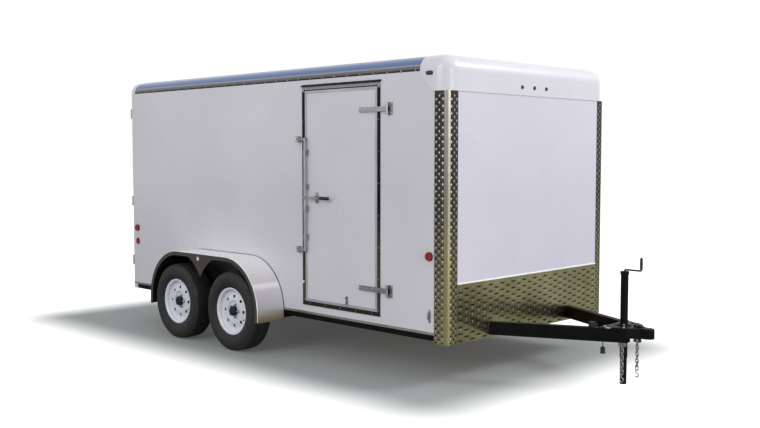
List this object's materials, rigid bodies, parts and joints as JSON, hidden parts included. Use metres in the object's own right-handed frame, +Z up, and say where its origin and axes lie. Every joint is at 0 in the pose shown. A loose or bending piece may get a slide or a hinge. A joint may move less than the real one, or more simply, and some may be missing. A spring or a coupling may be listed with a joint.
{
  "type": "enclosed cargo trailer",
  "caption": "Enclosed two-axle cargo trailer with a side door, double rear doors, tongue with coupler and a screw jack.",
  "frame": {"origin": "on the ground, under the middle of the whole trailer", "axes": "+X forward to the coupler, +Y to the trailer's left, +Z up"},
  "size_m": [5.405, 2.734, 2.463],
  "materials": {
    "black_steel": "semi-gloss black paint",
    "plywood": "bare plywood",
    "white_skin": "pre-painted white aluminium sheet",
    "roof_sheet": "mill-finish aluminium sheet",
    "bright_aluminium": "polished aluminium",
    "tread_plate": "bright tread plate",
    "white_fibreglass": "gel-coated fibreglass",
    "zinc_steel": "zinc-plated steel",
    "tyre_rubber": "matt black rubber",
    "white_wheel": "white enamel",
    "black_hub": "black-painted casting with a dark cap",
    "cable_rubber": "black cable jacket",
    "black_plastic": "moulded plug body",
    "red_lens": "red lens",
    "amber_lens": "dark amber lens"
  },
  "bodies": {
    "trailer": {"axles": "black_steel", "bottom_trims": "bright_aluminium", "cap_lamps": "amber_lens", "corner_posts": "tread_plate", "coupler": "black_steel", "coupler_latch": "black_steel", "crossmembers": "black_steel", "fender_left": "bright_aluminium", "fender_right": "bright_aluminium", "floor": "plywood", "frame_rail_left": "black_steel", "frame_rail_right": "black_steel", "front_wall": "white_skin", "jack_crank": "black_steel", "jack_tube": "black_steel", "keepers": "zinc_steel", "lead_plug": "black_plastic", "nose_cap": "white_fibreglass", "rear_frame": "black_steel", "rear_hinge_leaves": "zinc_steel", "roof": "roof_sheet", "roof_coves": "bright_aluminium", "safety_chains": "zinc_steel", "side_door_frame": "bright_aluminium", "side_hinge_leaves": "zinc_steel", "side_lamps": "red_lens", "side_wall_left": "white_skin", "side_wall_right": "white_skin", "stone_guard": "tread_plate", "tail_lamps": "red_lens", "tongue_left": "black_steel", "tongue_right": "black_steel", "trailer_lead": "cable_rubber"},
    "side_door": {"side_door_panel": "white_skin", "side_door_trim": "bright_aluminium", "side_door_straps": "zinc_steel", "side_door_lock": "zinc_steel"},
    "rear_door_left": {"rear_door_left_panel": "white_skin", "rear_door_left_trim": "bright_aluminium", "rear_door_left_straps": "zinc_steel", "rear_door_left_lock": "zinc_steel"},
    "rear_door_right": {"rear_door_right_panel": "white_skin", "rear_door_right_trim": "bright_aluminium", "rear_door_right_straps": "zinc_steel", "rear_door_right_lock": "zinc_steel"},
    "jack_foot": {"jack_leg": "black_steel"},
    "front_left_wheel": {"tyre_front_left": "tyre_rubber", "wheel_front_left": "white_wheel", "hub_front_left": "black_hub"},
    "front_right_wheel": {"tyre_front_right": "tyre_rubber", "wheel_front_right": "white_wheel", "hub_front_right": "black_hub"},
    "rear_left_wheel": {"tyre_rear_left": "tyre_rubber", "wheel_rear_left": "white_wheel", "hub_rear_left": "black_hub"},
    "rear_right_wheel": {"tyre_rear_right": "tyre_rubber", "wheel_rear_right": "white_wheel", "hub_rear_right": "black_hub"}
  },
  "joints": [
    {"name": "side_door_swing", "type": "hinge", "parent": "trailer", "child": "side_door", "pos_m": [1.0285, -1.091, 1.373], "axis": [0, 0, 1], "range_deg": [0, 180]},
    {"name": "rear_door_left_swing", "type": "hinge", "parent": "trailer", "child": "rear_door_left", "pos_m": [-2.6755, 1.057, 1.39], "axis": [0, 0, -1], "range_deg": [0, 225]},
    {"name": "rear_door_right_swing", "type": "hinge", "parent": "trailer", "child": "rear_door_right", "pos_m": [-2.6755, -1.057, 1.39], "axis": [0, 0, 1], "range_deg": [0, 225]},
    {"name": "jack_crank_up", "type": "slide", "parent": "trailer", "child": "jack_foot", "axis": [0, 0, 1], "range_m": [0, 0.18]},
    {"name": "front_left_wheel_spin", "type": "hinge", "parent": "trailer", "child": "front_left_wheel", "pos_m": [-0.6345, 1.253, 0.351], "axis": [0, 1, 0], "continuous": true},
    {"name": "front_right_wheel_spin", "type": "hinge", "parent": "trailer", "child": "front_right_wheel", "pos_m": [-0.6345, -1.253, 0.351], "axis": [0, 1, 0], "continuous": true},
    {"name": "rear_left_wheel_spin", "type": "hinge", "parent": "trailer", "child": "rear_left_wheel", "pos_m": [-1.4675, 1.253, 0.351], "axis": [0, 1, 0], "continuous": true},
    {"name": "rear_right_wheel_spin", "type": "hinge", "parent": "trailer", "child": "rear_right_wheel", "pos_m": [-1.4675, -1.253, 0.351], "axis": [0, 1, 0], "continuous": true}
  ]
}
